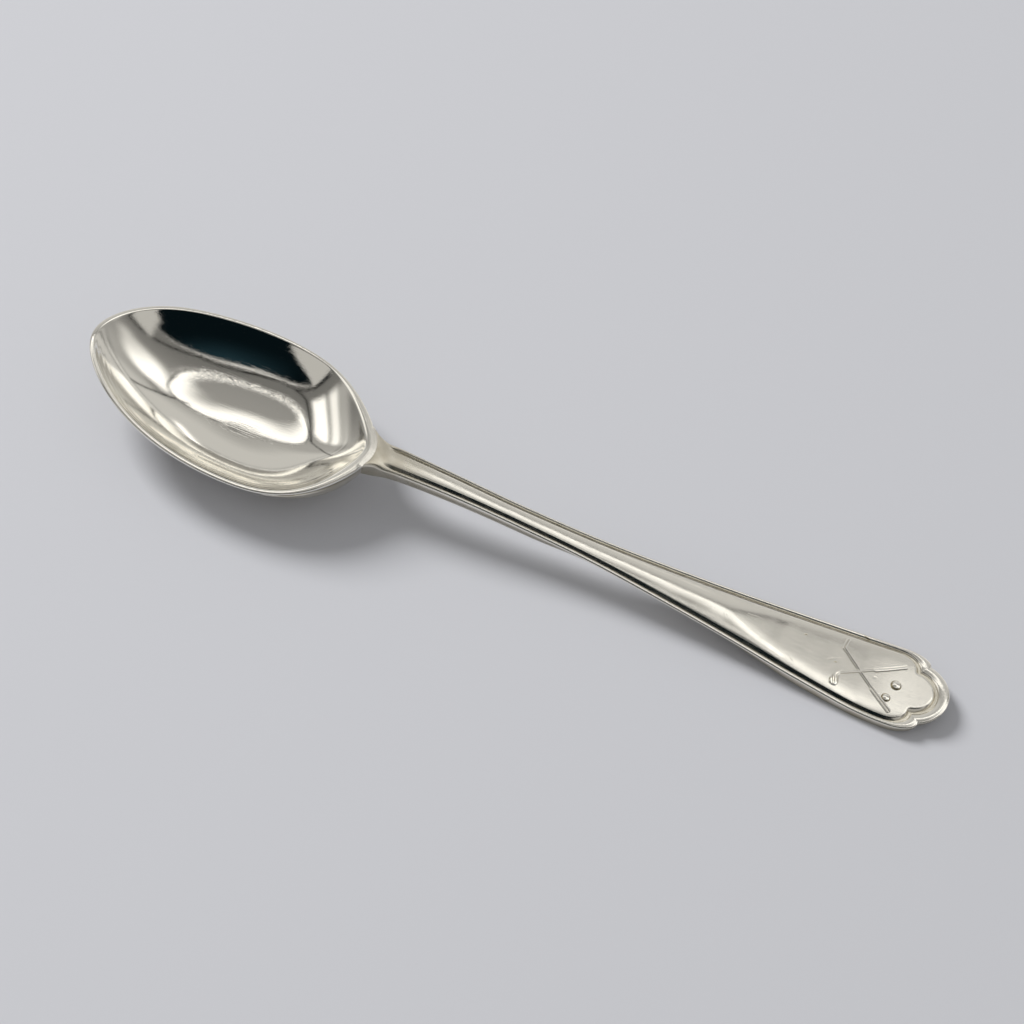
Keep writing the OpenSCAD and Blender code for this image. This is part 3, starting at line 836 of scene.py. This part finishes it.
def silverPlate(name, finish):
    mat = bpy.data.materials.new(name)
    mat.use_nodes = True
    t = NodeTree(mat.node_tree)
    shader = mat.node_tree.nodes["Principled BSDF"]
    place = t.add("ShaderNodeTexCoord").outputs["Object"]
    tarnishAndShade = t.add("ShaderNodeAttribute", attribute_name="tarnishAndShade").outputs["Fac"]
    satin = t.add("ShaderNodeAttribute", attribute_name="satin").outputs["Fac"]
    # tarnish and painted shade: where the piece's vertices carry it, broken up by cloudy noise
    clouds = t.noise(place, plate["cloudScale"], 4, 0.6)
    specks = t.range(t.noise(place, plate["speckScale"], 3, 0.65), 0.55, 0.75)
    amount = t.math("MULTIPLY", tarnishAndShade, t.range(clouds, 0.25, 0.7, 0.6, 1.05))
    depth, dark = scratched(t, place, finish["marks"])
    amount = t.math("MULTIPLY_ADD", t.math("MULTIPLY", specks, finish["specks"]), clouds, amount)
    amount = t.math("ADD", amount, dark, clampIt=True)
    colour = t.add("ShaderNodeMix", {"A": (*plate["silver"], 1), "B": (*plate["tone"], 1)},
                   {"Factor": t.math("MULTIPLY", amount, finish["toneShare"])}, data_type="RGBA")
    shader.inputs["Metallic"].default_value = 1
    # fine scratches, much longer than wide
    across, lengthwise = 1 / plate["scratchWidth"], 1 / plate["scratchLen"]
    heights = None
    for angle, share in finish["scratches"]:
        lines = t.noise(t.stretched(place, (lengthwise, across, across), angle), 1.0, 3, 0.6)
        lines = t.math("MULTIPLY", t.range(lines, 0.52, 0.8), share)
        heights = lines if heights is None else t.math("ADD", heights, lines)
    dents = t.noise(place, finish["dentScale"], 1, 0.4)
    height = t.math("MULTIPLY_ADD", dents, finish["dentShare"], heights)
    height = t.math("MULTIPLY_ADD", depth, -finish["markDepth"], height)
    if finish.get("ripple"):
        # faint ripples inside the bowl that follow the rim on the side it is scooped from
        fromRim = t.add("ShaderNodeAttribute", attribute_name="fromRim").outputs["Fac"]
        side = t.range(t.add("ShaderNodeSeparateXYZ", links={"Vector": place}).outputs["Y"], 0.001, -0.004)
        shown = t.math("MULTIPLY", side, t.range(fromRim, 3.4, 1.6))
        stray = t.noise(place, plate["strayScale"], 2, 0.5)
        turns = t.math("MULTIPLY", fromRim, plate["rippleTurn"])
        turns = t.math("MULTIPLY_ADD", stray, plate["rippleStray"], turns)
        ripples = t.math("MULTIPLY", t.math("SINE", turns), shown)
        height = t.math("MULTIPLY_ADD", ripples, finish["ripple"], height)
    bump = t.add("ShaderNodeBump", {"Strength": finish["bump"], "Distance": plate["bumpDepth"]},
                 {"Height": height})
    rough = t.math("MULTIPLY_ADD", satin, finish["satinRough"], finish["rough"])
    rough = t.math("MULTIPLY_ADD", t.range(clouds, 0.3, 0.7), finish["roughVary"], rough)
    rough = t.math("MULTIPLY_ADD", amount, plate["tonedRough"], rough)
    rough = t.math("MULTIPLY_ADD", heights, plate["scratchedRough"], rough)
    for socket, source in (("Base Color", colour.outputs[2]), ("Normal", bump.outputs["Normal"]),
                           ("Roughness", rough)):
        t.tree.links.new(source, shader.inputs[socket])
    return mat


handleMarks = [
    (38.25, 1.75, 20, 0.55, 0.2, 0.9), (41.8, -0.35, 65, 0.8, 0.14, 0.1), (42.15, -0.1, 55, 0.6, 0.12, 0.1),
    (42.85, -0.25, 12, 0.5, 0.18, 1.0), (34.5, 2.7, -62, 0.9, 0.12, 0.2), (34.75, -1.45, -68, 0.8, 0.1, 0.1),
    (35.35, -1.2, -66, 0.7, 0.1, 0.2), (36.75, -2.35, -35, 0.8, 0.12, 0.1),
    (37.25, -2.8, -30, 0.6, 0.14, 0.3), (46.1, 5.45, -10, 1.0, 0.22, 1.0),
    (27.35, -1.1, -72, 0.8, 0.09, 0.1), (27.7, -1.0, -70, 0.5, 0.08, 0.1),
    (25.65, 2.3, 8, 1.2, 0.1, 0.8), (24.2, 2.15, 4, 0.9, 0.09, 0.7), (55.05, 5.05, -42, 1.6, 0.25, 1.0),
    (48.3, -0.05, 40, 0.55, 0.4, 0.0), (43.3, 0.6, 25, 0.9, 0.08, 0.1), (31.0, 0.8, 12, 1.6, 0.07, 0.1),
]
headScores = [(43.12 + k * 0.29, -2.88 + k * 0.13, -77, 1.35, 0.1, 1.0) for k in (-1.5, -0.5, 0.5, 1.5)]
bowlMarks = [
    (-36.0, 2.5, 24, 3.2, 0.06, 0.0), (-40.5, -1.0, -33, 2.4, 0.05, 0.0), (-44.0, 4.2, 61, 1.8, 0.05, 0.0),
]
bowlFinish = {
    "rough": 0.02, "roughVary": 0.02, "satinRough": 0.2, "ripple": 2.0, "specks": 0.05, "toneShare": 0.75,
    "scratches": [(12, 0.6), (-38, 0.5), (70, 0.4)],  # direction and depth
    "dentScale": 260, "dentShare": 0.6, "bump": 0.12, "marks": bowlMarks, "markDepth": 0.5,
}
handleFinish = {
    "rough": 0.085, "roughVary": 0.05, "satinRough": 0.14, "specks": 0.12, "toneShare": 0.9,
    "scratches": [(3, 1.0), (-24, 0.5), (48, 0.4)],
    "dentScale": 300, "dentShare": 0.5, "bump": 0.11, "marks": handleMarks, "markDepth": 5.0,
}
motifFinish = {
    "rough": 0.1, "roughVary": 0.04, "satinRough": 0.1, "specks": 0.1, "toneShare": 0.95,
    "scratches": [(8, 0.6)],
    "dentScale": 900, "dentShare": 0.6, "bump": 0.15, "marks": headScores, "markDepth": 8.0,
}
for pieces, name, finish in (
        ((spoonBowl, spoonDrop), "bowlPlate", bowlFinish),
        ((stemEdge, stemCrown, endEdge, endPanel), "handlePlate", handleFinish),
        ((ironClub, woodClub, farBall, nearBall), "motifPlate", motifFinish)):
    mat = silverPlate(name, finish)
    for obj in pieces:
        obj.data.materials.clear()
        obj.data.materials.append(mat)
print("finishes made")

# Floor, world and lamp
studio = {
    "floorColour": (0.6, 0.605, 0.635), "floorRough": 0.85, "floorSize": 4, "world": (0.421, 0.421, 0.421),
    "lampPlace": (-1.19, 0.43, 0.9), "lampSize": 0.61, "lampEnergy": 23.0,
    "centre": (-0.038, 0.0, 0.005), "tentSize": 0.75, "tentColumns": 600, "tentRows": 160,
    "plain": (1.0, 0.975, 0.92),
}


def plainMesh(name, bm, material):
    mesh = bpy.data.meshes.new(name)
    bm.to_mesh(mesh)
    bm.free()
    mesh.materials.append(material)
    obj = bpy.data.objects.new(name, mesh)
    scene.collection.objects.link(obj)
    return obj


paper = bpy.data.materials.new("paleFloor")
paper.use_nodes = True
paper.node_tree.nodes["Principled BSDF"].inputs["Base Color"].default_value = (*studio["floorColour"], 1)
paper.node_tree.nodes["Principled BSDF"].inputs["Roughness"].default_value = studio["floorRough"]
bm = bmesh.new()
bmesh.ops.create_grid(bm, x_segments=1, y_segments=1, size=studio["floorSize"])
plainMesh("floor", bm, paper)

world = bpy.data.worlds.new("studio")
scene.world = world
world.use_nodes = True
world.node_tree.nodes["Background"].inputs["Color"].default_value = (*studio["world"], 1)

lampData = bpy.data.lights.new("softLamp", "AREA")
lampData.shape, lampData.size, lampData.energy = "DISK", studio["lampSize"], studio["lampEnergy"]
lamp = bpy.data.objects.new("softLamp", lampData)
scene.collection.objects.link(lamp)
lamp.location = studio["lampPlace"]
lamp.rotation_euler = Vector(studio["lampPlace"]).to_track_quat("Z", "Y").to_euler()
lamp.visible_glossy = False

# Light tent, which only reflections see, its light written at its vertices by direction from the bowl
wall = {
    "front": 0.17, "back": 0.4, "span": (-14, 48),  # darker towards the camera
    "farMore": 0.17, "farSpan": (38, 14),
    # soft-edged places: middle azimuth, from, to, softness, then elevation from, to, softness
    "shade": 0.35, "shadePlace": (49, -9, 8, 4, 36, 62, 8),
    "gleam": 0.75, "gleamPlace": (63, -8, 8, 6, 0, 12, 5),
    "folds": [(3, 0.8, -0.5), (12.5, 1.0, -0.45), (15, 0.8, 0.3), (17.5, 1.2, -0.3)],
    "foldPlace": (95, -75, 75, 30),
    "stripe": [(76, 22), (83, 11), (91, 6.5), (98, 9), (112, 7), (122, 4)],
    "stripeLight": 0.9, "stripeWidth": 2.2,
}
panels = {
    "slant": ((61, 8), (29, 31)), "slantLight": (0.35, 1.0), "slantGain": 1.5,
    "slantHalf": 4.5, "slantBulge": 6.5, "slantSoft": 10.0,
    "strips": [(0.8, (179, -20, 22, 9, 36, 51, 5)), (0.6, (179, -20, 22, 9, 23, 31, 5)),
               (0.24, (179, -20, 22, 9, 12, 50, 8))],
}
ring = {
    "middle": (-1.0, 14.0), "halfX": 28.5, "halfY": 22.0, "power": 2.4, "degrees": 24,
    "skew": 0.17, "skewSpan": (8, 14), "light": 1.35, "backSpan": (3, 18), "sideSpan": (0.7, 0.3),
    "within": 0.3, "withinShare": 0.8, "frontEdge": (-3.0, 2.0), "backEdge": (-8.0, 13),
    "brokenBase": 0.42, "brokenGain": 3.5,
    "sparkGain": 8, "sparkLess": 1.1, "sparkBand": (-6, 4.5, 3), "sparkFade": 0.6,
    "rimShade": 0.8, "rimAt": 1.7, "rimWidth": 0.6,
}
opening = {
    "azimuth": -79, "half": 60, "low": 27, "top": 61, "left": 6, "right": 1, "archPower": 3.4, "soft": 1.2,
    "dark": (0.002, 0.005, 0.0065), "paler": 5, "palerSpan": (42, 20), "palerMiddle": 0.7,
    "lipLow": 1.2, "lipHigh": 3.4, "lipLight": (0.45, 0.9), "lipShare": 0.85,
    "foldAt": 4.6, "foldWidth": 0.5, "foldShade": 0.45,
    "sillLow": 8, "sillShare": 0.8, "patchLight": 0.5,
    "farPatch": (-118.5, -23.5, 23.5, 2), "farTop": 45, "farDrop": 9, "farCorner": -96, "farFade": 12,
    "nearPatch": (0, -25, -8, 3), "nearTop": 36, "nearSlope": 0.3, "nearCorner": -16,
}
seams = {
    "shade": 0.97, "width": 0.95,
    "thick": (-144, 2.2), "thickSpan": (18, 45, 3),  # azimuth and width, then elevations
    "lines": [  # (azimuth, elevation) along each seam
        [(-5, 20), (-6, 31), (-9, 39), (-15, 47), (-30, 58), (-42, 65), (-62, 68), (-81, 67), (-106, 64),
         (-134, 60), (-142, 51), (-143, 38), (-141, 22)],
        [(54, 18), (55, 36), (60, 48), (66, 52)],
        [(147, 52), (142, 36), (133, 12)],
        [(-134, 61), (-145, 58), (-156, 56), (-170, 56), (173, 55), (147, 51)],
    ],
}


def soft(value, edge, width):
    return eased((value - edge) / width + 0.5)


def inside(value, low, high, width):
    return soft(value, low, width) * (1 - soft(value, high, width))


def turned(azimuth, middle):
    return (azimuth - middle + 180) % 360 - 180


def sector(azimuth, middle, left, right, width):
    return inside(turned(azimuth, middle), left, right, width)


def spot(azimuth, elevation, place):
    return sector(azimuth, *place[:4]) * inside(elevation, *place[4:])


def leaning(azimuth, elevation):
    # degrees from straight up, towards +X and +Y
    a = math.radians(azimuth)
    return (90 - elevation) * math.cos(a), (90 - elevation) * math.sin(a)


def toSegment(x, y, a, b, reach=90):
    # distance and share along the segment; further away than reach isn't worked out
    if not (min(a[0], b[0]) - reach < x < max(a[0], b[0]) + reach
            and min(a[1], b[1]) - reach < y < max(a[1], b[1]) + reach):
        return reach, 0
    dx, dy = b[0] - a[0], b[1] - a[1]
    t = clamp(((x - a[0]) * dx + (y - a[1]) * dy) / (dx * dx + dy * dy))
    return math.hypot(x - a[0] - t * dx, y - a[1] - t * dy), t


def segments(points):
    flat = [leaning(*p) for p in points]
    return list(zip(flat, flat[1:]))


stripePieces = segments(wall["stripe"])
seamPieces = [piece for points in seams["lines"] for piece in segments(points)]


def nearest(across, ahead, pieces, reach):
    return min(toSegment(across, ahead, a, b, reach)[0] for a, b in pieces)


def wallLight(azimuth, elevation, across, ahead):
    w = wall
    light = mix(w["front"], w["back"], ramp(ahead, w["span"])) + w["farMore"] * ramp(ahead, w["farSpan"])
    light *= 1 - w["shade"] * spot(azimuth, elevation, w["shadePlace"])
    behind = sector(azimuth, *w["foldPlace"])
    for place, width, gain in w["folds"]:
        light *= 1 + gain * behind * hump(elevation, place, width)
    light += w["gleam"] * spot(azimuth, elevation, w["gleamPlace"])
    light += w["stripeLight"] * hump(nearest(across, ahead, stripePieces, 6), 0, w["stripeWidth"])
    # soft panels at both ends: a slanting one, and one of two strips
    away, t = toSegment(across, ahead, *panels["slant"])
    edge = panels["slantHalf"] + panels["slantBulge"] * math.sin(math.pi * t)
    slant = mix(*panels["slantLight"], eased(t * panels["slantGain"]))
    light += slant * (1 - soft(away, edge, panels["slantSoft"]))
    return light + sum(gain * spot(azimuth, elevation, place) for gain, place in panels["strips"])


def ringed(light, across, ahead):
    # a ring of light overhead: sharp outside and fading inside at the back, thin and broken at the front
    g = ring
    grain = noise.noise(Vector((across, ahead, 0)) * 0.9)
    grain += 0.8 * noise.noise(Vector((across, ahead, 9)) * 2.1)
    x = across - g["middle"][0]
    y = ahead - g["middle"][1] - g["skew"] * across * ramp(ahead, g["skewSpan"])
    p = g["power"]
    out = ((abs(x / g["halfX"]) ** p + abs(y / g["halfY"]) ** p) ** (1 / p) - 1) * g["degrees"]
    back = max(ramp(ahead, g["backSpan"]), ramp(abs(x) / g["halfX"], g["sideSpan"]))
    light = mix(light, g["within"], g["withinShare"] * (1 - soft(out, -2, 4)))
    edge, width = (mix(front, rear, back) for front, rear in zip(g["frontEdge"], g["backEdge"]))
    glow = soft(out, edge, width) * (1 - soft(out, 0.8, 1.4))
    glow *= mix(clamp(g["brokenBase"] + g["brokenGain"] * grain), 1, back)
    sparks = (clamp(g["sparkGain"] * grain - g["sparkLess"]) * inside(out, *g["sparkBand"])
              * (1 - g["sparkFade"] * back) * (1 - soft(ahead, 14, 8)))
    light = mix(light, g["light"], clamp(glow + sparks))
    return light * (1 - g["rimShade"] * hump(out, g["rimAt"], g["rimWidth"]) * back * soft(ahead, 10, 6))


def tentLight(azimuth, elevation):
    across, ahead = leaning(azimuth, elevation)
    light = ringed(wallLight(azimuth, elevation, across, ahead), across, ahead)
    # the pale lip over the opening, and the seams
    o = opening
    offset = turned(azimuth, o["azimuth"])
    reach = o["half"] + (o["left"] if offset < 0 else o["right"])
    top = o["low"] + (o["top"] - o["low"]) * max(1 - abs(offset / reach) ** o["archPower"], 0) ** 0.5
    front = inside(offset, -reach, reach, o["soft"])
    lip = inside(elevation, top + o["lipLow"], top + o["lipHigh"], o["soft"])
    light = mix(light, mix(*o["lipLight"], clamp(1 - abs(offset) / o["half"])), o["lipShare"] * front * lip)
    light *= 1 - o["foldShade"] * front * hump(elevation, top + o["foldAt"], o["foldWidth"])
    light *= 1 - seams["shade"] * hump(nearest(across, ahead, seamPieces, 3), 0, seams["width"])
    thick = hump(turned(azimuth, seams["thick"][0]), 0, seams["thick"][1])
    light *= 1 - seams["shade"] * thick * inside(elevation, *seams["thickSpan"])
    # the opening in front, its two pale patches and its sill
    hole = front * inside(elevation, o["low"], top, 1.0)
    paler = ramp(elevation, o["palerSpan"]) * clamp(o["palerMiddle"] + offset / o["half"])
    farTop = o["farTop"] - o["farDrop"] * math.exp(-max(o["farCorner"] - azimuth, -4) / o["farFade"])
    nearTop = o["nearTop"] + o["nearSlope"] * (azimuth - o["nearCorner"])
    farPatch = spot(azimuth, elevation, (*o["farPatch"], 14, farTop, 1.5))
    nearPatch = spot(azimuth, elevation, (*o["nearPatch"], 16, nearTop, 4))
    sill = o["sillShare"] * front * inside(elevation, o["sillLow"], o["low"], 2)
    shades = []
    for plain, dark in zip(studio["plain"], o["dark"]):
        patch = o["patchLight"] * plain
        shade = mix(mix(light * plain, patch, sill), dark * (1 + o["paler"] * paler), hole)
        shades.append(mix(mix(shade, patch, farPatch), patch, nearPatch))
    return shades


bm = bmesh.new()
tentColour = bm.verts.layers.float_color.new("light")
bmesh.ops.create_grid(bm, x_segments=studio["tentColumns"], y_segments=studio["tentRows"], size=1)
for v in bm.verts:
    azimuth, elevation = v.co.x * 180, mix(-2, 90, (v.co.y + 1) / 2)
    v[tentColour] = (*tentLight(azimuth, elevation), 1)
    a, e = math.radians(azimuth), math.radians(elevation)
    direction = Vector((math.cos(a) * math.cos(e), math.sin(a) * math.cos(e), math.sin(e)))
    v.co = Vector(studio["centre"]) + direction * studio["tentSize"]
tentCloth = bpy.data.materials.new("tentCloth")
tentCloth.use_nodes = True
t = NodeTree(tentCloth.node_tree)
t.tree.nodes.remove(t.tree.nodes["Principled BSDF"])
cloth = t.add("ShaderNodeEmission",
              links={"Color": t.add("ShaderNodeAttribute", attribute_name="light").outputs["Color"]})
t.tree.links.new(cloth.outputs[0], t.tree.nodes["Material Output"].inputs["Surface"])
tentCloth.cycles.emission_sampling = "NONE"
tentDome = plainMesh("lightTent", bm, tentCloth)
tentDome.visible_camera = tentDome.visible_diffuse = False
tentDome.visible_shadow = tentDome.visible_transmission = False
print("studio made")

scene.view_settings.view_transform = "Standard"
